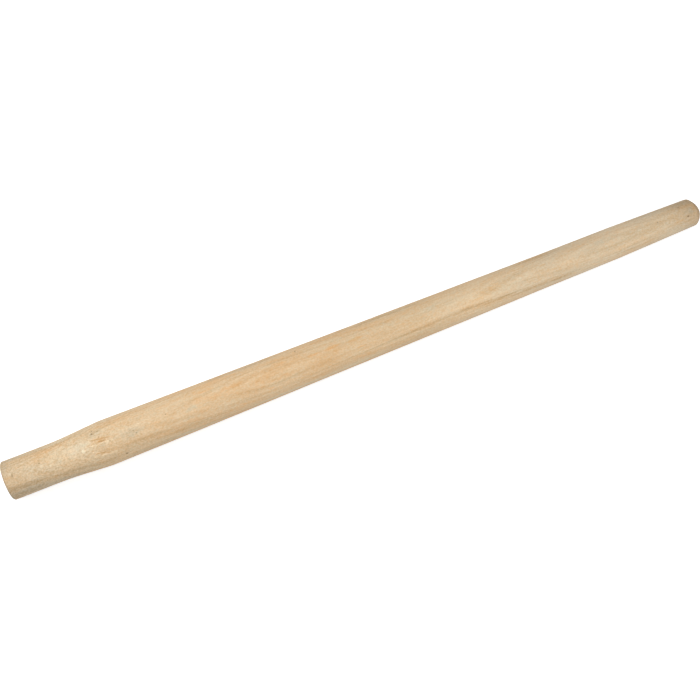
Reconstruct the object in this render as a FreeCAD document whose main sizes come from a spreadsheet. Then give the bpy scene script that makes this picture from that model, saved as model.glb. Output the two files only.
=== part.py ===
# The handle of a splitting maul: one piece of hardwood, turned on a lathe.
#
# It lies along +X with its axis on the X axis. The origin is the centre of the flat end face of
# the tenon, which goes into the eye of the head, and the domed butt points to +X.
# Sizes are in millimetres.

import FreeCAD, Part
import os
import Sketcher

# Driving dimensions. A length is measured from the nearer end of the handle, so that a longer
# handle gets a longer body and keeps its tenon, shoulder, grip and butt.
SIZES = {
    "overall_length": 800,  # the tenon's end face to the top of the dome
    "tenon_diameter": 42,  # the parallel end that the eye grips
    "tenon_length": 62,  # the end face to the foot of the shoulder
    "tenon_chamfer": 1.6,  # eases the tenon into the eye
    "shoulder_length": 44,  # the foot of the shoulder to the swell
    "shoulder_rise": 3.3,  # how far the swell stands out past the tenon
    "foot_radius": 300,  # hollow round at the foot of the shoulder
    "swell_radius": 80,  # crown of the swell
    "grip_diameter": 37,  # where the body's taper meets the grip
    "grip_length": 85,  # the slow taper that the lower hand holds
    "waist_diameter": 36,  # where the grip meets the butt
    "butt_length": 96,  # the quicker taper from the grip to the dome
    "butt_diameter": 31.4,  # at the rim of the dome
    "dome_height": 9,  # the rim of the dome to its top
    "rim_round": 0.8,  # eased edge round the dome
}

# The straight stretches of the handle's outline, from the tenon to the butt. Each has the
# station along the axis and the radius where it ends.
STRETCHES = {
    "tenon": (
        "sizes.tenon_length",
        "sizes.tenon_diameter / 2",
    ),
    "shoulder": (
        "sizes.tenon_length + sizes.shoulder_length",
        "sizes.tenon_diameter / 2 + sizes.shoulder_rise",
    ),
    "body": (
        "sizes.overall_length - sizes.dome_height - sizes.butt_length - sizes.grip_length",
        "sizes.grip_diameter / 2",
    ),
    "grip": (
        "sizes.overall_length - sizes.dome_height - sizes.butt_length",
        "sizes.waist_diameter / 2",
    ),
    "butt": (
        "sizes.overall_length - sizes.dome_height",
        "sizes.butt_diameter / 2",
    ),
}

# The stretches whose far corner is rounded, and by how much.
ROUNDS = {
    "tenon": "sizes.foot_radius",
    "shoulder": "sizes.swell_radius",
}

X_AXIS = ORIGIN = -1  # a sketch's name for its own X axis, whose first point is the origin
START, END, CENTRE = 1, 2, 3  # the points of a line or an arc that a constraint can hold
SAME_STATION = 0.001  # mm


def make_sheet(doc):
    """The spreadsheet that drives the model, with one named cell for each size."""
    sheet = doc.addObject("Spreadsheet::Sheet", "sizes")
    for row, (name, size) in enumerate(SIZES.items(), start=1):
        cell = "A%d" % row
        sheet.set(cell, str(size))
        sheet.setAlias(cell, name)
    doc.recompute()


def tie(sketch, name, constraint, formula):
    """Adds a dimension to the sketch and binds it to the sheet."""
    index = sketch.addConstraint(constraint)
    sketch.renameConstraint(index, name)
    sketch.setExpression("Constraints." + name, formula)


def hold(sketch, kind, *what):
    sketch.addConstraint(Sketcher.Constraint(kind, *what))


def spot(sketch, station, radius):
    """The point that two formulas give."""
    return FreeCAD.Vector(sketch.evalExpression(station), sketch.evalExpression(radius), 0)


def draw_stretches(sketch):
    """Draws the end face and the straight stretches in a chain. Returns their indexes by name."""
    ends = {name: spot(sketch, *formulas) for name, formulas in STRETCHES.items()}
    rim = FreeCAD.Vector(0, ends["tenon"].y, 0)
    lines = {}
    start = FreeCAD.Vector(0, 0, 0)
    for name, end in {"end_face": rim, **ends}.items():
        lines[name] = sketch.addGeometry(Part.LineSegment(start, end), False)
        start = end
    chain = list(lines.values())
    for line, following in zip(chain, chain[1:]):
        hold(sketch, "Coincident", line, END, following, START)

    hold(sketch, "Coincident", lines["end_face"], START, ORIGIN, START)
    hold(sketch, "Vertical", lines["end_face"])
    hold(sketch, "Horizontal", lines["tenon"])
    for name, (station, radius) in STRETCHES.items():
        along = Sketcher.Constraint("DistanceX", ORIGIN, START, lines[name], END, ends[name].x)
        out = Sketcher.Constraint("DistanceY", ORIGIN, START, lines[name], END, ends[name].y)
        tie(sketch, name + "_station", along, station)
        tie(sketch, name + "_radius", out, radius)
    return lines


def round_corners(sketch, lines):
    """Rounds the foot of the shoulder and the swell. Their dimensions stay on the sharp corners."""
    for name, formula in ROUNDS.items():
        radius = sketch.evalExpression(formula)
        arc = len(sketch.Geometry)
        sketch.fillet(lines[name], END, radius, True, True)
        tie(sketch, name + "_round", Sketcher.Constraint("Radius", arc, radius), formula)


def close_with_dome(sketch, butt):
    """Draws the dome, centred on the axis, and the line that closes the outline along the axis."""
    top = spot(sketch, "sizes.overall_length", "0")
    rim = sketch.getPoint(butt, END)
    rise = top.x - rim.x
    radius = (rim.y**2 + rise**2) / (2 * rise)
    centre = top - FreeCAD.Vector(radius, 0, 0)
    circle = Part.Circle(centre, FreeCAD.Vector(0, 0, 1), radius)
    arc = Part.ArcOfCircle(circle, 0, (rim - centre).getAngle(top - centre))
    dome = sketch.addGeometry(arc, False)
    axis = sketch.addGeometry(Part.LineSegment(top, FreeCAD.Vector(0, 0, 0)), False)
    hold(sketch, "Coincident", butt, END, dome, END)
    hold(sketch, "PointOnObject", dome, CENTRE, X_AXIS)
    hold(sketch, "Coincident", dome, START, axis, START)
    hold(sketch, "Coincident", axis, END, ORIGIN, START)
    hold(sketch, "Horizontal", axis)
    length = Sketcher.Constraint("DistanceX", ORIGIN, START, dome, START, top.x)
    tie(sketch, "top_station", length, "sizes.overall_length")


def draw_outline(body):
    """Half of the handle's long section, above its axis."""
    sketch = body.newObject("Sketcher::SketchObject", "outline")
    plane = next(feature for feature in body.Origin.OriginFeatures if feature.Role == "XY_Plane")
    sketch.AttachmentSupport = [(plane, "")]
    sketch.MapMode = "FlatFace"
    lines = draw_stretches(sketch)
    close_with_dome(sketch, lines["butt"])
    round_corners(sketch, lines)
    return sketch


def edge_round_axis(feature, station):
    """The name of the circular edge that runs round the axis at this station."""
    for number, edge in enumerate(feature.Shape.Edges, start=1):
        if isinstance(edge.Curve, Part.Circle) and abs(edge.Curve.Center.x - station) < SAME_STATION:
            return "Edge%d" % number
    raise ValueError("no edge runs round the axis at %g mm" % station)


def make_handle(doc):
    """The turned handle, with the tenon's end chamfered and the rim of the dome eased."""
    body = doc.addObject("PartDesign::Body", "handle")
    body.Label = "handle"
    body.Placement = FreeCAD.Placement(FreeCAD.Vector(0, 0, 0), FreeCAD.Rotation())
    outline = draw_outline(body)
    turned = body.newObject("PartDesign::Revolution", "turned")
    turned.Profile = outline
    turned.ReferenceAxis = (outline, ["H_Axis"])
    turned.Angle = 360
    doc.recompute()

    chamfer = body.newObject("PartDesign::Chamfer", "chamfer")
    chamfer.Base = (turned, [edge_round_axis(turned, 0)])
    chamfer.setExpression("Size", "sizes.tenon_chamfer")
    doc.recompute()

    eased_rim = body.newObject("PartDesign::Fillet", "eased_rim")
    dome_rim = outline.evalExpression(STRETCHES["butt"][0])
    eased_rim.Base = (chamfer, [edge_round_axis(chamfer, dome_rim)])
    eased_rim.setExpression("Radius", "sizes.rim_round")
    return body


def check(doc, pieces):
    """Stops before anything is written if any object failed or any piece has no sound shape."""
    for item in doc.Objects:
        if {"Invalid", "Error"} & set(item.State):
            raise RuntimeError("%s failed to compute: %s" % (item.Label, item.State))
        if item.isDerivedFrom("Sketcher::SketchObject") and not item.FullyConstrained:
            raise RuntimeError("sketch %s isn't fully constrained" % item.Label)
        if item.isDerivedFrom("PartDesign::DressUp") and item.Shape.Volume >= item.Base[0].Shape.Volume:
            raise RuntimeError("%s took nothing off" % item.Label)
    for piece in pieces:
        if piece.Shape.isNull() or not piece.Shape.isValid():
            raise RuntimeError("%s has no sound shape" % piece.Label)


def main():
    doc = FreeCAD.newDocument("splitting_maul_handle")
    make_sheet(doc)
    pieces = [make_handle(doc)]
    doc.recompute()
    check(doc, pieces)
    os.makedirs("parts", exist_ok=True)
    for piece in pieces:
        piece.Shape.exportStep("parts/%s.step" % piece.Label)
        box = piece.Shape.optimalBoundingBox()
        print("%s: %.1f x %.1f x %.1f mm, %.0f cm3" % (
            piece.Label, box.XLength, box.YLength, box.ZLength, piece.Shape.Volume / 1000,
        ))


main()
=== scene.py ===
# %% [markdown]
# # The wooden handle of a splitting maul
#
# The object is one stick of pale hardwood, turned on a lathe: a parallel tenon that goes into the eye
# of the head, a short shoulder, a swell, a long taper, a grip and a domed butt. It was sanded lightly
# and left bare, so everything that the eye finds on it is wood: growth rings that the lathe cut
# through, fibres, a few torn or bruised places and the marks of the tools.
#
# The frame comes first. It holds the handle at its real size, in metres, with its axis on the X axis
# and the centre of the tenon's end face at the origin. Everything below is measured from it.

# %% Load the frame
import math
import random

import bpy
import numpy as np
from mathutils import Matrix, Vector


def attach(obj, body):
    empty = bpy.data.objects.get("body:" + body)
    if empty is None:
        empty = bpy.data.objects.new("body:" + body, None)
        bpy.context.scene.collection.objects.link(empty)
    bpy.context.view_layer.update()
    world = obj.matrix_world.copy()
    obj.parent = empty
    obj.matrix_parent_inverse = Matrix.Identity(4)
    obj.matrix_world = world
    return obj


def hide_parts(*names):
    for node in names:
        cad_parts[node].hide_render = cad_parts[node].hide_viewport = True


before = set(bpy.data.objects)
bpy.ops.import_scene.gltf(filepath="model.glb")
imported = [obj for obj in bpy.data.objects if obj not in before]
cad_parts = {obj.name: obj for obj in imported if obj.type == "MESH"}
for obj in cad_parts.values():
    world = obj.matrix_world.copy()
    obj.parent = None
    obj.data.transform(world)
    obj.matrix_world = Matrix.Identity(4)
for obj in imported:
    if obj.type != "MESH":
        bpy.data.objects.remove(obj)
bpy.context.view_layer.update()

MM = 0.001

# %% [markdown]
# ## The outline that the lathe follows
#
# A turner copies one outline onto every side of the stick. The frame's handle has that outline in its
# vertices: each has a station along the axis and a radius. Sorted by station, they are the corners of
# the outline, and a walk along those corners gives as many points as the looks need.
#
# The outline could be drawn anew, but then it would drift away from the frame when a size changes. The
# points are close together where there is something to see, at the two ends and on the shoulder, and
# further apart on the plain taper. Averaging over a short stretch eases the corners, as sanding does.

# %% Read the outline off the frame
EASED = 0.4 * MM  # a corner is eased over this distance to each side of it
EASING_SAMPLES = 9
DOME_SLOPE = 0.1  # only past the rim of the dome does the outline fall more steeply than this
LEAST_FALL = 0.01 * MM

corners = np.array([vertex.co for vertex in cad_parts["handle"].data.vertices], dtype=float)
corners = np.column_stack((corners[:, 0], np.hypot(corners[:, 1], corners[:, 2])))
corners = np.unique(corners.round(6), axis=0)  # to the micrometre
corners = np.vstack(([0, 0], corners))
walked = np.concatenate(([0], np.cumsum(np.hypot(*np.diff(corners, axis=0).T))))

LENGTH = corners[-1, 0]
SWELL = corners[corners[:, 1].argmax()]
steps = np.diff(corners, axis=0)
DOME_RIM = corners[:-1][steps[:, 1] < -DOME_SLOPE * steps[:, 0] - LEAST_FALL][0]


def outline_at(distance):
    """The stations and radii at these distances along the outline, with eased corners."""
    shifts = np.linspace(-EASED, EASED, EASING_SAMPLES)
    near = np.add.outer(shifts, distance)
    stations = np.interp(near, walked, corners[:, 0]).mean(axis=0)
    radii = np.interp(near, walked, corners[:, 1]).mean(axis=0)
    return stations, radii


def radius_at(station):
    """The handle's radius at a station, away from the flat end face."""
    return float(np.interp(station, corners[1:, 0], corners[1:, 1]))


print("length %.1f mm, swell %.2f mm at %.1f mm, rim of the dome %.2f mm at %.1f mm" % (
    LENGTH / MM, 2 * SWELL[1] / MM, SWELL[0] / MM, 2 * DOME_RIM[1] / MM, DOME_RIM[0] / MM))

# %% Choose the points along the outline
# Some stations, and the distance between neighbouring points at each.
CELL_STATIONS = [0, 3 * MM, 8 * MM, 130 * MM, 170 * MM, LENGTH - 14 * MM, LENGTH - 9 * MM, LENGTH]
CELL_SIZES = [0.6 * MM, 0.6 * MM, 0.9 * MM, 0.9 * MM, 1.4 * MM, 1.4 * MM, 0.6 * MM, 0.6 * MM]
WALK_STEPS = 20001

fine = np.linspace(0, walked[-1], WALK_STEPS)
cells = np.interp(outline_at(fine)[0], CELL_STATIONS, CELL_SIZES)
counted = np.concatenate(([0], np.cumsum(np.diff(fine) / cells[1:])))
row_count = int(counted[-1]) + 1
rows = np.interp(np.linspace(0, counted[-1], row_count), counted, fine)
row_stations, row_radii = outline_at(rows)
row_radii[[0, -1]] = 0

outline_mesh = bpy.data.meshes.new("outline")
outline_mesh.from_pydata(
    [(station, radius, 0) for station, radius in zip(row_stations, row_radii)],
    [(row, row + 1) for row in range(row_count - 1)],
    [],
)
outline = bpy.data.objects.new("outline", outline_mesh)
bpy.context.scene.collection.objects.link(outline)
print("outline: %d points" % row_count)

# %% [markdown]
# ## Sums of nodes
#
# Both the shape and the finish below are formulas, and Blender writes a formula as nodes. A small
# class keeps them readable: it holds one output of a node, and adding or multiplying two of them adds
# the Math node that does it. Whatever isn't plain arithmetic goes through its one method `node`, and
# the methods with short names are built on that one.

# %% A wire between nodes
MATHS = "ShaderNodeMath"
VECTORS = "ShaderNodeVectorMath"


class Wire:
    """One output of a node, or the tree alone, as a term in Python expressions."""

    def __init__(self, tree, socket=None):
        self.tree = tree
        self.socket = socket

    def node(self, kind, settings=(), inputs=(), output=0):
        """Adds a node: its settings first, then the values and links of its sockets."""
        made = self.tree.nodes.new(kind)
        for name, value in dict(settings).items():
            if name == "stops":
                set_stops(made.color_ramp, value)
            else:
                setattr(made, name, value)
        for key, value in dict(inputs).items():
            if isinstance(value, Wire):
                self.tree.links.new(value.socket, made.inputs[key])
            else:
                made.inputs[key].default_value = value
        return Wire(self.tree, made.outputs[output])

    def maths(self, operation, *terms):
        return self.node(MATHS, {"operation": operation}, enumerate(terms))

    def vectors(self, operation, *terms):
        return self.node(VECTORS, {"operation": operation}, enumerate(terms))

    def __add__(self, other):
        return self.maths("ADD", self, other)

    def __radd__(self, other):
        return self.maths("ADD", other, self)

    def __sub__(self, other):
        return self.maths("SUBTRACT", self, other)

    def __rsub__(self, other):
        return self.maths("SUBTRACT", other, self)

    def __mul__(self, other):
        return self.maths("MULTIPLY", self, other)

    def __rmul__(self, other):
        return self.maths("MULTIPLY", other, self)

    def __truediv__(self, other):
        return self.maths("DIVIDE", self, other)

    def __rtruediv__(self, other):
        return self.maths("DIVIDE", other, self)

    def most(self, other):
        return self.maths("MAXIMUM", self, other)

    def rise(self, low, high):
        """0 up to low, 1 from high on, and a smooth rise between them."""
        limits = {"Value": self, "From Min": low, "From Max": high}
        return self.node("ShaderNodeMapRange", {"interpolation_type": "SMOOTHSTEP"}, limits)

    def part(self, axis):
        """One component of a vector."""
        return self.node("ShaderNodeSeparateXYZ", (), {0: self}, axis)

    def cells(self, along, around, out=None):
        """A position in steps of this size along the handle, round it and outwards."""
        steps = (1 / along, 1 / around, 1 / (out or around))
        return self.vectors("MULTIPLY", self, steps)

    def noise(self, detail=2.0, roughness=0.5, seed=0.0):
        """Smooth noise about 0, mostly within -1 to 1, with features about one unit apart."""
        inputs = {"Vector": self, "W": seed, "Scale": 1.0, "Detail": detail, "Roughness": roughness}
        raw = self.node("ShaderNodeTexNoise", {"noise_dimensions": "4D"}, inputs)
        return (raw - 0.5) * 4

    def tinted(self, amount, tint):
        """This colour times 1 + amount * tint: a stain, a bleach, or painted shade or highlight of
        that strength.
        """
        scaled = self.node(VECTORS, {"operation": "SCALE"}, {0: tint, "Scale": amount})
        return self.vectors("MULTIPLY", self, self.vectors("ADD", scaled, (1, 1, 1)))


def set_stops(ramp, stops):
    """Gives a colour ramp these (place, colour) stops."""
    while len(ramp.elements) < len(stops):
        ramp.elements.new(1.0)
    for element, (place, colour) in zip(ramp.elements, stops):
        element.position = place
        element.color = (*colour, 1)


print("wires ready")

# %% [markdown]
# ## Where the marks are
#
# No two sticks are alike. This one has its own small damages: grain that tore out where the cutter
# ran up the shoulder, pits, short cracks beside lifted fibres, and patches where the wood is warmer,
# greyer or paler. Some marks are painted light instead: pale marks beside the cracks and near the
# tenon's end are partly painted highlights, the brown in the cracks is partly painted shade, and
# olive and some brown patches along the sides and at the ends are painted shade. Each is given by its
# station along the handle, its angle round it and its size, so the same list can press a dent into
# the shape and colour the wood in it. Angle 90 is the top of the handle as it lies, and 0 is its left
# side, seen from the tenon. Sculpting and painting could make the same marks, but a list can be read,
# moved and changed one number at a time.
#
# The marks that set this stick apart were placed one by one. The far side has some of the same kinds,
# and there a seeded draw places them.

# %% The marks on this stick
# Each row: the station in mm, the angle in degrees, the length along the grain and the width across
# it in mm, and last the depth in mm of a pit or a crack, or how strong a flake, a stain, a tear or a
# painted shade or highlight is.
PITS = [
    (10, 96, 3.4, 6, 0.50),
    (39, 92, 3, 2.6, 0.42),
    (57, 56, 3, 2.4, 0.30),
    (84, 122, 2.6, 2.0, 0.30),
    (98, 72, 3.6, 3.2, 0.60),
    (99, 63, 3, 2.6, 0.50),
    (104, 71, 2.6, 2.4, 0.33),
    (104, 87, 3, 2.4, 0.36),
    (113, 106, 3, 2.6, 0.42),
    (124, 156, 5, 3.4, 0.60),
    (139, 103, 3, 2, 0.38),
    (141, 111, 3, 2.4, 0.36),
    (158, 146, 3.4, 2.2, 0.40),
    (175, 95, 3.4, 2.8, 0.36),
    (323, 56, 3.4, 2.8, 0.50),
    (744, 96, 3, 2.8, 0.46),
    (774, 69, 3, 3, 0.48),
    (780, 118, 4, 3.4, 0.55),
]
CRACKS = [
    (84, 115, 7, 1.4, 0.30),
    (91, 98.5, 5, 1.3, 0.45),
    (93, 115, 4, 1.4, 0.40),
    (97, 89, 7, 1.6, 0.50),
    (98, 125.5, 7, 1.5, 0.50),
    (98, 147, 9, 1.5, 0.35),
    (101, 90.5, 8, 1.6, 0.60),
    (103, 98, 6, 1.8, 0.60),
    (103, 128, 7, 1.5, 0.60),
    (106, 93, 9, 1.6, 0.50),
    (107, 99.5, 8, 2.0, 0.70),
    (108, 131.5, 8, 1.3, 0.45),
    (112, 95, 9, 1.5, 0.40),
    (545, 105, 9, 1.8, 0.35),
]
# Pale lifted fibres, and painted highlights: pale marks on the ridges beside the cracks, where a
# crack's edge would catch the light, and glints near the tenon's end.
FLAKES_AND_GLINTS = [
    (9, 90, 4, 3, 0.6),
    (11, 138, 3, 9, 0.6),
    (11, 152, 5, 5, 0.6),
    (49, 109, 3.4, 3, 0.9),
    (67, 133, 13, 1.8, 0.7),
    (85, 107, 6, 4.5, 1.2),
    (93, 93, 4, 3, 0.8),
    (94, 119, 5, 1.7, 0.8),
    (94, 132, 10, 1.8, 0.7),
    (95, 102, 5, 2.0, 1.2),
    (98, 122.5, 5, 1.5, 0.7),
    (99, 104, 5, 2.0, 1.0),
    (99, 149, 10, 1.8, 0.5),
    (103, 133.5, 11, 1.8, 0.9),
    (104, 103.5, 8, 1.7, 1.2),
    (111, 104.5, 9, 2.2, 1.2),
    (111, 136, 10, 1.7, 0.8),
    (115, 105, 7, 3.0, 0.8),
]
# Patches of colour; the olive rows and part of the wider brown ones are painted shade.
STAINS_AND_SHADE = {
    "warm": [
        (26, 60, 50, 7, 0.2),
        (55, 62, 60, 9, 0.6),
        (105, 95, 22, 6, 0.5),
        (183, 149, 16, 3, 0.6),
        (199, 136, 40, 6, 0.6),
        (210, 89, 20, 12, 0.5),
        (223, 74, 24, 5, 1.0),
        (226, 53, 46, 8, 0.9),
        (229, 97, 26, 5, 0.5),
        (242, 89, 24, 5, 1.0),
        (253, 90, 22, 7, 1.3),
        (272, 102, 22, 6, 0.7),
        (290, 95, 120, 18, 0.4),
        (301, 77, 26, 7, 0.9),
        (304, 116, 48, 8, 0.7),
        (313, 113, 16, 4, 0.6),
        (339, 90, 19, 3.8, 1.4),
        (339, 156, 30, 4, 0.6),
        (353, 74, 12, 4, 0.5),
        (360, 90, 20, 4.4, 1.5),
        (386, 91, 22, 4.4, 1.5),
        (436, 89, 12, 4, 0.6),
        (456, 80, 18, 4, 0.5),
        (483, 90, 14, 5, 0.6),
        (605, 89, 8, 4.5, 0.9),
        (648, 58, 9, 5, 0.8),
        (730, 157, 30, 4, 0.7),
        (760, 93, 12, 6, 0.7),
        (769, 125, 16, 3.4, 1.0),
        (789, 93, 12, 9, 0.9),
    ],
    "ashen": [
        (34, 40, 90, 8, 1.0),
        (59, 111, 6, 5, 0.8),
        (102, 72, 24, 13, 1.0),
        (105, 108, 12, 4, 1.2),
        (119, 105, 13, 4, 1.0),
        (135, 107, 34, 15, 0.6),
        (178, 172, 200, 9, 1.0),
        (201, 105, 15, 6, 1.2),
        (330, 174, 260, 8, 1.0),
        (422, 76, 9, 5, 0.8),
        (474, 88, 24, 8, 0.6),
        (674, 88, 18, 7, 0.8),
        (783, 101, 14, 14, 0.8),
    ],
    # Painted shade along the sides and at both ends, olive as the shade on this wood looks; the row at
    # 135 mm darkens a grey patch instead.
    "olive": [
        (4, 58, 12, 26, 0.7),
        (10, 36, 30, 9, 0.5),
        (15, 163, 90, 17, 1.0),
        (18, 140, 90, 10, 0.45),
        (58, 173, 100, 13, 0.9),
        (66, 150, 80, 8, 0.4),
        (135, 107, 34, 13, 0.35),
        (262, 41, 130, 9, 0.6),
        (738, 42, 70, 8, 0.5),
        (785, 55, 50, 14, 0.35),
        (785, 98, 20, 13, 0.5),
    ],
    # Rows wider than 5 mm lie along the sides, on the right towards the tenon and on the left towards
    # the butt, and are partly painted shade; the narrower rows are brown lines in the wood.
    "brown": [
        (22, 138, 80, 8, 0.45),
        (52, 53, 90, 5, 0.5),
        (66, 150, 80, 8, 0.4),
        (98, 156, 60, 6, 0.5),
        (138, 135, 50, 9, 0.4),
        (158, 134, 50, 7, 0.4),
        (194, 150, 120, 7, 0.4),
        (425, 46, 120, 7, 0.6),
        (452, 135, 70, 3.6, 0.7),
        (484, 132, 40, 3.0, 0.6),
        (513, 134, 60, 3.4, 0.9),
        (548, 141, 70, 3.6, 1.0),
        (583, 149, 70, 3.6, 0.9),
        (606, 46, 80, 7, 0.5),
        (620, 155, 70, 3.4, 0.7),
        (707, 156, 60, 4, 0.5),
        (780, 60, 60, 20, 0.45),
    ],
    "pale": [
        (30, 110, 60, 12, 0.4),
        (42, 103, 34, 9, 0.6),
        (68, 98, 110, 22, 0.9),
        (123, 88, 30, 7, 0.6),
        (171, 101, 22, 9, 0.6),
        (185, 127, 20, 5, 0.6),
        (197, 77, 24, 5, 0.8),
        (255, 106, 7, 4, 0.8),
        (335, 172, 220, 10, 1.6),
        (345, 132, 80, 3.0, 0.5),
        (392, 135, 80, 7, 0.8),
        (468, 121, 90, 3.4, 0.8),
        (499, 107, 60, 4, 0.6),
        (501, 120, 40, 4, 0.8),
        (518, 101, 60, 12, 0.7),
        (526, 121, 70, 5, 0.7),
        (545, 98, 26, 8, 0.6),
        (548, 113, 80, 13, 0.7),
        (655, 160, 110, 8, 0.7),
        (768, 168, 56, 12, 1.5),
    ],
}
TEAR = (104, 104, 52, 48, 1.0)

stain_and_shade_count = sum(len(rows) for rows in STAINS_AND_SHADE.values())
print("by hand: %d pits, %d cracks, %d flakes, %d stains" % (
    len(PITS), len(CRACKS), len(FLAKES_AND_GLINTS), stain_and_shade_count))

# %% The marks on the far side
FAR_SIDE = (198, 378)  # degrees
BETWEEN_ENDS = (15, LENGTH / MM - 20)  # stations in mm
draw = random.Random(12)


def scatter(count, lengths, widths, strengths):
    """Rows for this many marks on the far side, drawn between the given limits."""
    limits = (BETWEEN_ENDS, FAR_SIDE, lengths, widths, strengths)
    return [tuple(draw.uniform(*pair) for pair in limits) for _ in range(count)]


PITS += scatter(8, (2.5, 5), (2, 3.5), (0.25, 0.5))
CRACKS += scatter(4, (7, 18), (1.6, 2.4), (0.3, 0.6))
FLAKES_AND_GLINTS += scatter(3, (5, 10), (2, 4), (0.5, 1.0))
STAINS_AND_SHADE["warm"] += scatter(12, (14, 60), (4, 9), (0.5, 1.0))
STAINS_AND_SHADE["ashen"] += scatter(6, (18, 60), (7, 11), (0.6, 1.2))
STAINS_AND_SHADE["olive"] += scatter(4, (30, 80), (6, 12), (0.3, 0.6))
STAINS_AND_SHADE["brown"] += scatter(7, (60, 140), (3, 6), (0.4, 0.9))
STAINS_AND_SHADE["pale"] += scatter(6, (40, 90), (4, 14), (0.4, 0.9))

all_count = sum(len(rows) for rows in (PITS, CRACKS, FLAKES_AND_GLINTS, *STAINS_AND_SHADE.values()))
print("with the far side: %d marks" % all_count)

# %% Turn a list of marks into nodes
WOBBLE_SIZE = 3  # how long a wobble is, in distances moved
WOBBLE_REACH = 4  # the noise runs from -0.5 to 0.5, so a point moves by up to twice its distance


def marks(position, rows, core=0.0):
    """The strongest mark at each point.

    A mark has its full strength out to its core, a share of its size, and fades from there to
    nothing at its edge. It is measured from the direction off the axis and not from the surface, so
    a dent doesn't weaken the mark in it.
    """
    radial = position.vectors("MULTIPLY", position, (0, 1, 1))
    outwards = position.vectors("NORMALIZE", radial)
    here = position.vectors("MULTIPLY_ADD", position, (1, 0, 0), outwards)
    strongest = position.maths("ADD", 0.0, 0.0)
    for station, angle, along, around, strength in rows:
        turn = math.radians(angle)
        centre = (station * MM, math.cos(turn), math.sin(turn))
        offset = here.vectors("SUBTRACT", here, centre)
        scaled = offset.cells(along * MM / 2, around * MM / 2 / radius_at(station * MM))
        distance = position.node(VECTORS, {"operation": "LENGTH"}, {0: scaled}, 1)
        strongest = strongest.most((1 - distance.rise(core, 1.0)) * strength)
    return strongest


def shaken(position, along, around):
    """Each point moved a little, along and around the handle, so that a mark's edge is ragged."""
    wobble = position.node("ShaderNodeTexNoise", (), {
        "Vector": position.cells(WOBBLE_SIZE * along, WOBBLE_SIZE * around),
        "Scale": 1.0,
        "Detail": 1.0,
    }, "Color")
    centred = position.vectors("SUBTRACT", wobble, (0.5, 0.5, 0.5))
    reach = (WOBBLE_REACH * along, WOBBLE_REACH * around, WOBBLE_REACH * around)
    return position.vectors("MULTIPLY_ADD", centred, reach, position)


print("marks ready")

# %% [markdown]
# ## Turning the handle
#
# The lathe's rule is short: carry the outline round the axis. A Screw modifier could do that alone.
# Geometry Nodes can also cut the marks and keep the stains on the same points, so one tree does it
# all, from a flat grid. Each row of the grid takes its station and radius from one point of the
# outline, and each column takes an angle. Merging the points that meet closes the seam and both ends.
#
# Then the surface gets what hand and tool left on it, as small moves along its normal: a slow
# waviness from sanding, fine ripples where the stick chattered, the torn grain, the dents, saw marks
# on the end face, and a dome that is worn on one side. All of them go inwards, as a tool can only
# take wood off. The stick also bows a little as it dries.

# %% The lathe's inputs
INPUTS = {
    "Sides": ("NodeSocketInt", 132),
    "Seed": ("NodeSocketFloat", 7.0),
    "Bow": ("NodeSocketFloat", 0.8 * MM),
    "Waviness": ("NodeSocketFloat", 0.10 * MM),
    "Chatter": ("NodeSocketFloat", 0.035 * MM),
    "Dent depth": ("NodeSocketFloat", 1.0),
    "Tear depth": ("NodeSocketFloat", 0.45 * MM),
    "Saw marks": ("NodeSocketFloat", 0.12 * MM),
    "Dome wear": ("NodeSocketFloat", 1.3 * MM),
    "Finish": ("NodeSocketMaterial", None),
}

lathe = bpy.data.node_groups.new("lathe", "GeometryNodeTree")
lathe.interface.new_socket("Geometry", in_out="INPUT", socket_type="NodeSocketGeometry")
lathe.interface.new_socket("Geometry", in_out="OUTPUT", socket_type="NodeSocketGeometry")
for name, (kind, value) in INPUTS.items():
    socket = lathe.interface.new_socket(name, in_out="INPUT", socket_type=kind)
    if value is not None:
        socket.default_value = value

entry = lathe.nodes.new("NodeGroupInput")
given = {socket.name: Wire(lathe, socket) for socket in entry.outputs}
bench = Wire(lathe)
print("lathe: %d inputs" % len(INPUTS))

# %% Carry the outline round the axis
SAME_POINT = 0.001 * MM


def turn_outline():
    """The bare turned shape: a grid wrapped round the axis along the outline."""
    count = bench.node("GeometryNodeAttributeDomainSize", (), {"Geometry": given["Geometry"]})
    columns = given["Sides"] + 1
    grid = bench.node("GeometryNodeMeshGrid", (), {"Vertices X": count, "Vertices Y": columns})
    index = bench.node("GeometryNodeInputIndex")
    row = bench.maths("FLOOR", (index + 0.5) / columns)
    column = index - row * columns
    point = bench.node("GeometryNodeSampleIndex", {"data_type": "FLOAT_VECTOR", "domain": "POINT"}, {
        "Geometry": given["Geometry"],
        "Value": bench.node("GeometryNodeInputPosition"),
        "Index": row,
    })
    angle = column / given["Sides"] * math.tau
    radius = point.part(1)
    wrapped = bench.node("ShaderNodeCombineXYZ", (), {
        0: point.part(0),
        1: radius * bench.maths("COSINE", angle),
        2: radius * bench.maths("SINE", angle),
    })
    turned = bench.node("GeometryNodeSetPosition", (), {"Geometry": grid, "Position": wrapped})
    merged = {"Geometry": turned, "Distance": SAME_POINT}
    closed = bench.node("GeometryNodeMergeByDistance", (), merged)
    return bench.node("GeometryNodeFlipFaces", (), {"Mesh": closed})


turned_shape = turn_outline()
print("turned shape: %d nodes" % len(lathe.nodes))

# %% The marks of the tools
CHATTER_PITCH = 2.9 * MM
SAW_STROKE = 14 * MM  # how far a saw mark runs across the end face
SAW_PITCH = 1.6 * MM
END_FACE = (0.15 * MM, 0.5 * MM)  # the chamfer starts within this
WORN_FROM = DOME_RIM[0] - 3 * MM
WORN_FULLY = LENGTH - 4 * MM
WORN_SIDE = (-12 * MM, 14 * MM)  # across the axis, towards the handle's left
DENT_SHAKE = (0.6 * MM, 0.3 * MM)


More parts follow.
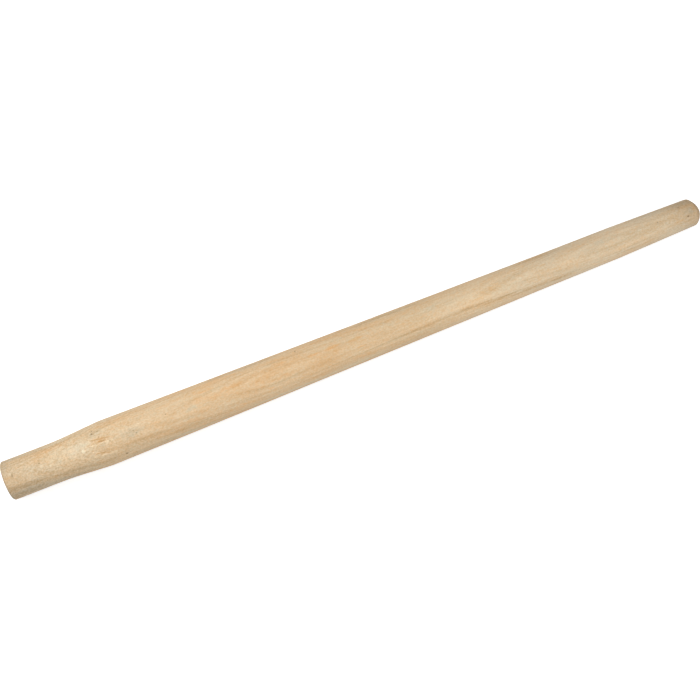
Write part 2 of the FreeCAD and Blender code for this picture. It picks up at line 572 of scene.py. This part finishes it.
def sanding(position):
    """The waves that sanding left, from 0 up."""
    return (position.cells(70 * MM, 9 * MM).noise(1.0, 0.5, given["Seed"]) + 1.2).most(0.0)


def chatter(position):
    """Fine ripples along the handle, in patches, from 0 to 2."""
    drift = position.cells(9 * MM, 9 * MM).noise() * 2
    ripple = bench.maths("SINE", position.part(0) * (math.tau / CHATTER_PITCH) + drift)
    patches = position.cells(24 * MM, 11 * MM).noise(1.0, 0.5, given["Seed"] + 1).rise(0.1, 0.9)
    return (ripple + 1) * patches


def torn_grain(position):
    """How torn the grain is, from 0 to 1: small chips within the tear."""
    region = marks(position, [TEAR])
    chips = position.cells(6 * MM, 1.5 * MM).noise(1.5, 0.6, given["Seed"] + 2).rise(0.0, 1.3)
    return chips * region.rise(0.05, 0.7)


def saw_marks(position):
    """The strokes of the saw, from 0 up."""
    strokes = position.vectors("MULTIPLY", position, (0, 1 / SAW_STROKE, 1 / SAW_PITCH))
    return (strokes.noise(2.0, 0.6, given["Seed"] + 3) + 1).most(0.0)


def dome_wear(position):
    """How worn the dome is, from 0 to 1."""
    return position.part(0).rise(WORN_FROM, WORN_FULLY) * position.part(1).rise(*WORN_SIDE)


def cut_depth(position, torn):
    """How deep the tools went at each point, in metres."""
    end_face = 1 - position.part(0).rise(*END_FACE)
    side = 1 - end_face
    dents = marks(shaken(position, *DENT_SHAKE), PITS + CRACKS)
    return (
        sanding(position) * given["Waviness"] * side
        + chatter(position) * given["Chatter"] * side
        + torn * given["Tear depth"]
        + dents * MM * given["Dent depth"]
        + saw_marks(position) * end_face * given["Saw marks"]
        + dome_wear(position) * given["Dome wear"]
    )


def dry_bow(position):
    """The sideways bow at each station: a shallow curve that leaves the swell where it was."""
    from_middle = position.part(0) * (2 / LENGTH) - 1
    at_swell = 2 * SWELL[0] / LENGTH - 1
    return (bench.maths("POWER", from_middle, 4.0) - at_swell**4) * given["Bow"]


print("tool marks ready")

# %% Finish the lathe tree
STAIN_AND_SHADE_SHAKE = (3 * MM, 0.8 * MM)
STAIN_AND_SHADE_CORE = 0.3


def store(geometry, name, value):
    """Keeps a value on the points under a name that the material reads."""
    kind = {"data_type": "FLOAT", "domain": "POINT"}
    inputs = {"Geometry": geometry, "Name": name, "Value": value}
    return bench.node("GeometryNodeStoreNamedAttribute", kind, inputs)


def finish_turning(shape):
    """Keeps stains and painted shade, cuts the marks into the turned shape, bows it, gives it its
    material.
    """
    position = bench.node("GeometryNodeInputPosition")
    normal = bench.node("GeometryNodeInputNormal")
    torn = torn_grain(position)
    deep = cut_depth(position, torn)
    ragged = shaken(position, *STAIN_AND_SHADE_SHAKE)
    stored = store(shape, "torn", torn)
    for name, rows in STAINS_AND_SHADE.items():
        stored = store(stored, name, marks(ragged, rows, STAIN_AND_SHADE_CORE))
    inwards = bench.node(VECTORS, {"operation": "SCALE"}, {0: normal, "Scale": deep * -1})
    cut = bench.node("GeometryNodeSetPosition", (), {"Geometry": stored, "Offset": inwards})
    sideways = bench.node("ShaderNodeCombineXYZ", (), {1: dry_bow(position)})
    bowed = bench.node("GeometryNodeSetPosition", (), {"Geometry": cut, "Offset": sideways})
    smooth = bench.node("GeometryNodeSetShadeSmooth", (), {"Geometry": bowed})
    realized = bench.node("GeometryNodeRealizeInstances", (), {"Geometry": smooth})
    finished = {"Geometry": realized, "Material": given["Finish"]}
    made = bench.node("GeometryNodeSetMaterial", (), finished)
    lathe.links.new(made.socket, lathe.nodes.new("NodeGroupOutput").inputs[0])


finish_turning(turned_shape)
print("lathe: %d nodes" % len(lathe.nodes))

# %% [markdown]
# ## Bare hardwood
#
# A flat plank pattern could be wrapped round the stick, but it would have a seam along it and the
# wrong grain on the ends. Wood is solid, so here its pattern is worked out in space and the shape cuts
# through it. The pith of the tree lies outside this stick, and every point is given by
# three numbers: how far along it is, how far round the pith and how far out from it. Noise and rings
# in those numbers give long flames on the side, V shapes where the tree grew crooked and arcs on the
# ends, all from one formula.
#
# The colour is built as a finisher would see it. It starts from the bare wood, which drifts slowly
# from cream at the tenon to a duller tan at the butt, and each layer then multiplies it: latewood
# and fibres brown it, resin warms it, handling greys it and lifted fibres bleach it. Some layers are
# painted light: the olive patches and part of the wider brown ones, along the sides and at the ends,
# are painted shade, pale marks beside the cracks are partly painted highlights, and the brown in the
# cracks is partly painted shade.

# %% The colours of the wood
# The bare wood along the handle: the share of its length, and the colour there.
DRIFT = [
    (0.00, (0.69, 0.51, 0.315)),
    (0.08, (0.78, 0.585, 0.365)),
    (0.28, (0.78, 0.555, 0.328)),
    (0.45, (0.75, 0.535, 0.316)),
    (0.57, (0.72, 0.525, 0.315)),
    (0.66, (0.76, 0.568, 0.356)),
    (0.77, (0.71, 0.550, 0.362)),
    (0.88, (0.735, 0.575, 0.385)),
    (0.94, (0.680, 0.530, 0.350)),
    (1.00, (0.55, 0.405, 0.252)),
]
# How a layer of strength 1 changes the wood's red, green and blue, as a share of each.
TINTS = {
    "brown": (-0.20, -0.27, -0.38),
    "warm": (0.01, -0.09, -0.21),
    "ashen": (-0.08, -0.02, 0.04),
    "olive": (-0.20, -0.16, -0.12),
    "pale": (0.05, 0.10, 0.16),
    "lifted_and_glint": (0.14, 0.20, 0.27),
    "darker_in_pits": (-0.52, -0.58, -0.66),
}
print("%d colours of bare wood, %d tints" % (len(DRIFT), len(TINTS)))

# %% Where each point is in the tree
RING = 2.3 * MM  # one year's growth
UNEVEN_GROWTH = 0.5  # how far a ring can be out of place, in rings
WANDER = 0.8 * MM  # and how far the whole pattern wanders
PITH_DISTANCE = 58 * MM
FACE_ANGLE = math.radians(107)  # the side of the handle that was furthest from the pith
# Where the tree grew crooked: from the first station to the second, the rings shift by the last
# number, all in mm.
CROOKS = [(0, 130, 9), (120, 300, 6), (480, 700, 6)]
# Each noise in the wood: the size of its features along the grain, round it and outwards, in mm, then
# its detail, roughness and seed.
NOISES = {
    "wander": (90, 25, 25, 1.0, 0.5, 3.0),
    "uneven growth": (400, 60, 7, 1.0, 0.5, 4.0),
    "fibres": (18, 1.1, 1.1, 3.0, 0.6, 5.0),
    "streaks": (55, 5, 0.9, 2.0, 0.55, 6.0),
    "patches": (50, 11, 4, 3.0, 0.55, 8.0),
    "dashes": (13, 2.2, 2.2, 1.0, 0.5, 9.0),
    "mottle": (2.0, 1.5, 1.5, 2.0, 0.65, 9.0),
    "clear growth": (160, 25, 6, 2.0, 0.5, 11.0),
    "speckle": (1.2, 0.7, 0.7, 2.0, 0.6, 12.0),
    "rays": (30, 0.5, 7, 1.0, 0.5, 13.0),
    "flecks": (3.2, 1.8, 1.8, 1.0, 0.5, 14.0),
}

wood = bpy.data.materials.new("bare_hardwood")
wood.use_nodes = True
wood.node_tree.nodes.clear()
stick = Wire(wood.node_tree)


def noise_in(where, name):
    """One of the noises in the wood, at each point of these coordinates."""
    along, around, out, detail, roughness, seed = NOISES[name]
    return where.cells(along * MM, around * MM, out * MM).noise(detail, roughness, seed)


def in_the_tree(position):
    """Each point as the tree grew it: along the trunk, round the pith and out from it, in metres."""
    station = position.part(0)
    crook = sum(station.rise(low * MM, high * MM) * (shift * MM) for low, high, shift in CROOKS)
    wander = noise_in(position, "wander") * WANDER
    outwards = position.part(1) * math.cos(FACE_ANGLE) + position.part(2) * math.sin(FACE_ANGLE)
    across = position.part(1) * math.sin(FACE_ANGLE) - position.part(2) * math.cos(FACE_ANGLE)
    from_pith = outwards + PITH_DISTANCE
    angle = stick.maths("ARCTAN2", across, from_pith)
    distance = stick.maths("POWER", from_pith * from_pith + across * across, 0.5)
    parts = {0: station, 1: angle * PITH_DISTANCE, 2: distance + crook + wander}
    return stick.node("ShaderNodeCombineXYZ", (), parts)


def growth_rings(grain):
    """How far each point is into its ring's dark latewood, from 0 to 1."""
    shift = noise_in(grain, "uneven growth") * UNEVEN_GROWTH
    ring = stick.maths("FRACT", grain.part(2) / RING + shift)
    darkens = ring.rise(0.35, 0.9)
    next_year = ring.rise(0.9, 1.0)
    return darkens * (1 - next_year)


position = stick.node("ShaderNodeTexCoord", (), (), "Object")
grain = in_the_tree(position)
latewood = growth_rings(grain)
fibres = noise_in(position, "fibres")
mottle = noise_in(position, "mottle")
print("grain: %d nodes" % len(wood.node_tree.nodes))

# %% The colour of the clean wood
# How strongly each layer works.
BROWNING = {"latewood": 0.55, "streaks": 0.26, "fibres": 0.22, "mottle": 1.05, "all over": 0.05}
WARMING = {"patches": 0.85, "resin": 0.8, "dashes": 0.2, "flecks": 0.65}
END_BROWNING = {"latewood": 0.7, "speckle": 0.35, "rays": 0.25, "all over": 0.15}


def end_grain(station):
    """1 on the two ends, where the lathe cut across the fibres, and 0 on the side."""
    dome = station.rise(DOME_RIM[0] - 1 * MM, DOME_RIM[0] + 2.5 * MM)
    end_face = 1 - station.rise(0.2 * MM, 0.9 * MM)
    return dome.most(end_face)


def resinous(station):
    """1 on the stretch whose fibres hold resin, and 0 away from it."""
    return station.rise(130 * MM, 240 * MM) * (1 - station.rise(390 * MM, 470 * MM))


def coarseness(station):
    """How coarse the mottle is: most on the tenon, least in the middle, and some at the butt."""
    on_tenon = 1 - station.rise(60 * MM, 200 * MM)
    at_butt = station.rise(690 * MM, 790 * MM)
    return on_tenon * 0.45 + at_butt * 0.2 + 0.45


def wood_colour():
    """The drift of the bare wood, with each layer multiplied in."""
    station = position.part(0)
    colour = stick.node("ShaderNodeValToRGB", {"stops": DRIFT}, {"Fac": station / LENGTH}, "Color")
    brown = (
        latewood * noise_in(grain, "clear growth").rise(-0.6, 1.0) * BROWNING["latewood"]
        + noise_in(grain, "streaks") * BROWNING["streaks"]
        + fibres * BROWNING["fibres"]
        + mottle * coarseness(station) * BROWNING["mottle"]
        + BROWNING["all over"]
    )
    colour = colour.tinted(brown, TINTS["brown"])

    dashes = noise_in(grain, "dashes").rise(0.35, 1.2)
    warm = (
        noise_in(grain, "patches") * WARMING["patches"]
        + dashes * (resinous(station) * WARMING["resin"] + WARMING["dashes"])
        + noise_in(position, "flecks") * WARMING["flecks"]
    )
    colour = colour.tinted(warm, TINTS["warm"])

    cut_fibres = (
        latewood * END_BROWNING["latewood"]
        + noise_in(position, "speckle") * END_BROWNING["speckle"]
        + noise_in(grain, "rays") * END_BROWNING["rays"]
        + END_BROWNING["all over"]
    )
    return colour.tinted(end_grain(station) * cut_fibres, TINTS["brown"])


clean_colour = wood_colour()
print("clean wood: %d nodes" % len(wood.node_tree.nodes))

# %% Stains, painted shade and small marks
STAIN_AND_SHADE_STRENGTH = 0.9
STAIN_AND_SHADE_UNEVENNESS = 0.25
TORN_WARMTH = 0.5
CRACK_WARMTH = 1.8
CRACK_BROWN_AND_SHADE = 1.3
PIT_DARKENING_PER_MM = 1.8  # how soon a pit darkens as it gets deeper
MARK_SHAKE = (0.6 * MM, 0.15 * MM)
CRACK_CORE = 0.45
FLAKE_AND_GLINT_CORE = 0.4


def kept(name):
    """A value that the lathe kept on the points."""
    return stick.node("ShaderNodeAttribute", {"attribute_name": name}, (), "Fac")


def marked(colour):
    """The colour with stains, painted shade, torn grain and small marks, some of them painted
    highlights.
    """
    uneven = fibres * STAIN_AND_SHADE_UNEVENNESS + mottle * STAIN_AND_SHADE_UNEVENNESS + STAIN_AND_SHADE_STRENGTH
    for name in STAINS_AND_SHADE:
        colour = colour.tinted(kept(name) * uneven, TINTS[name])
    colour = colour.tinted(kept("torn") * TORN_WARMTH, TINTS["warm"])

    ragged = shaken(position, *MARK_SHAKE)
    cracked = marks(ragged, CRACKS, CRACK_CORE)
    # The orange in a crack is its own colour; the brown in it is partly painted shade in the hollow.
    colour = colour.tinted(cracked * CRACK_WARMTH, TINTS["warm"])
    colour = colour.tinted(cracked * CRACK_BROWN_AND_SHADE, TINTS["brown"])
    colour = colour.tinted(marks(ragged, FLAKES_AND_GLINTS, FLAKE_AND_GLINT_CORE), TINTS["lifted_and_glint"])
    # A pit is darker the deeper it is.
    darkened_pits = (marks(ragged, PITS) * PIT_DARKENING_PER_MM).rise(0.0, 1.0)
    return colour.tinted(darkened_pits, TINTS["darker_in_pits"])


marked_colour = marked(clean_colour)
print("marked wood: %d nodes" % len(wood.node_tree.nodes))

# %% The finished wood
ROUGHNESS = 0.64
FIBRE_ROUGHNESS = 0.04
relief = {"Strength": 0.5, "Distance": 0.2 * MM, "Height": fibres * 0.4 + mottle * 0.6}
shader = stick.node("ShaderNodeBsdfPrincipled", (), {
    "Base Color": marked_colour,
    "Roughness": fibres * FIBRE_ROUGHNESS + ROUGHNESS,
    "Normal": stick.node("ShaderNodeBump", (), relief, "Normal"),
    "IOR": 1.45,
    "Specular IOR Level": 0.35,
})
wood_output = wood.node_tree.nodes.new("ShaderNodeOutputMaterial")
wood.node_tree.links.new(shader.socket, wood_output.inputs["Surface"])
print("bare_hardwood: %d nodes" % len(wood.node_tree.nodes))

# %% Turn the handle
modifier = outline.modifiers.new("lathe", "NODES")
modifier.node_group = lathe
settings = {name: value for name, (_, value) in INPUTS.items()}
settings["Finish"] = wood
for item in lathe.interface.items_tree:
    if item.in_out == "INPUT" and item.name in settings:
        modifier[item.identifier] = settings[item.name]

depsgraph = bpy.context.evaluated_depsgraph_get()
turned_mesh = bpy.data.meshes.new_from_object(outline.evaluated_get(depsgraph))
turned_mesh.name = "turned_handle"
outline.modifiers.remove(modifier)
bpy.data.objects.remove(outline)

turned_handle = bpy.data.objects.new("turned_handle", turned_mesh)
bpy.context.scene.collection.objects.link(turned_handle)
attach(turned_handle, "root")
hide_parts("handle")


def enclosed(mesh):
    """The volume inside a closed mesh, in cubic metres. It is negative if the faces look inwards."""
    mesh.calc_loop_triangles()
    return sum(
        triangle.normal.dot(triangle.center) * triangle.area / 3 for triangle in mesh.loop_triangles
    )


volume = enclosed(turned_mesh)
print("turned_handle: %d triangles, %.0f cm3" % (len(turned_mesh.loop_triangles), volume * 1e6))

# %% [markdown]
# ## Floor, light and camera
#
# A stick like this one lies on its swell and on the rim of its butt, so the floor is the line through
# those two places. The floor and the backdrop are white, and the light is soft: an even white sky, a
# wide lamp overhead, and two smaller lamps, one past the tenon and one in front of the butt.
#
# Paper that is bright enough to look white would throw much light back on the stick. So the paper is
# a mid grey, and it glows only for the camera.

# %% The floor
FLOOR_REACH = 20.0
PAPER = 0.6  # the share of light that the paper throws back
GLOW = 0.73
slope = (SWELL[1] - DOME_RIM[1]) / (DOME_RIM[0] - SWELL[0])


def floor_height(station):
    return -SWELL[1] + (station - SWELL[0]) * slope


floor_mesh = bpy.data.meshes.new("floor")
floor_corners = [
    (-FLOOR_REACH, -FLOOR_REACH),
    (FLOOR_REACH, -FLOOR_REACH),
    (FLOOR_REACH, FLOOR_REACH),
    (-FLOOR_REACH, FLOOR_REACH),
]
floor_mesh.from_pydata([(x, y, floor_height(x)) for x, y in floor_corners], [], [(0, 1, 2, 3)])
floor = bpy.data.objects.new("floor", floor_mesh)
bpy.context.scene.collection.objects.link(floor)

paper = bpy.data.materials.new("white_paper")
paper.use_nodes = True
paper_shader = paper.node_tree.nodes["Principled BSDF"]
paper_shader.inputs["Base Color"].default_value = (PAPER, PAPER, PAPER, 1)
paper_shader.inputs["Roughness"].default_value = 0.9
paper_shader.inputs["Specular IOR Level"].default_value = 0.0
paper_shader.inputs["Emission Color"].default_value = (1, 1, 1, 1)
seen = Wire(paper.node_tree).node("ShaderNodeLightPath", (), (), "Is Camera Ray")
paper.node_tree.links.new((seen * GLOW).socket, paper_shader.inputs["Emission Strength"])
floor_mesh.materials.append(paper)
print("floor: slope %.2f degrees" % math.degrees(math.atan(slope)))

# %% The light
SKY = 0.465  # how bright the sky is to everything but the camera, which sees it at 1
# Each lamp: where it is, what it faces, how wide it is, in metres, and its power in watts.
LAMPS = {
    "top_lamp": ((0.40, 0.10, 1.60), (0.40, 0, 0), 1.4, 8.1),
    "tenon_lamp": ((-0.15, 0.45, 0.75), (0.10, 0, 0), 0.5, 2.4),
    "butt_lamp": ((0.80, -0.90, 0.40), (0.60, 0, 0), 0.5, 3.0),
}

world = bpy.data.worlds.new("studio")
bpy.context.scene.world = world
world.use_nodes = True
seen = Wire(world.node_tree).node("ShaderNodeLightPath", (), (), "Is Camera Ray")
background = world.node_tree.nodes["Background"]
background.inputs["Color"].default_value = (1, 1, 1, 1)
world.node_tree.links.new((seen * (1 - SKY) + SKY).socket, background.inputs["Strength"])

for name, (where, towards, size, power) in LAMPS.items():
    light = bpy.data.lights.new(name, "AREA")
    light.shape = "DISK"
    light.size = size
    light.energy = power
    lamp = bpy.data.objects.new(name, light)
    lamp.location = where
    lamp.rotation_euler = (Vector(towards) - Vector(where)).to_track_quat("-Z", "Y").to_euler()
    bpy.context.scene.collection.objects.link(lamp)
print("%d lamps" % len(LAMPS))

# %% The camera
CAMERA_TURN = math.radians(-22.64)
CAMERA_HEIGHT = math.radians(71.09)
AIM = Vector((0.4742 * LENGTH, -0.0041 * LENGTH, 0))
DISTANCE = 1.5355 * LENGTH
LENS = 59.25  # mm

lens = bpy.data.cameras.new("camera")
lens.lens = LENS
camera = bpy.data.objects.new("camera", lens)
back = Vector((
    math.sin(CAMERA_TURN) * math.cos(CAMERA_HEIGHT),
    -math.cos(CAMERA_TURN) * math.cos(CAMERA_HEIGHT),
    math.sin(CAMERA_HEIGHT),
))
camera.location = AIM + back * DISTANCE
camera.rotation_euler = (-back).to_track_quat("-Z", "Y").to_euler()
bpy.context.scene.collection.objects.link(camera)
bpy.context.scene.camera = camera
bpy.context.scene.view_settings.view_transform = "Standard"
print("camera at %.3f %.3f %.3f m" % tuple(camera.location))
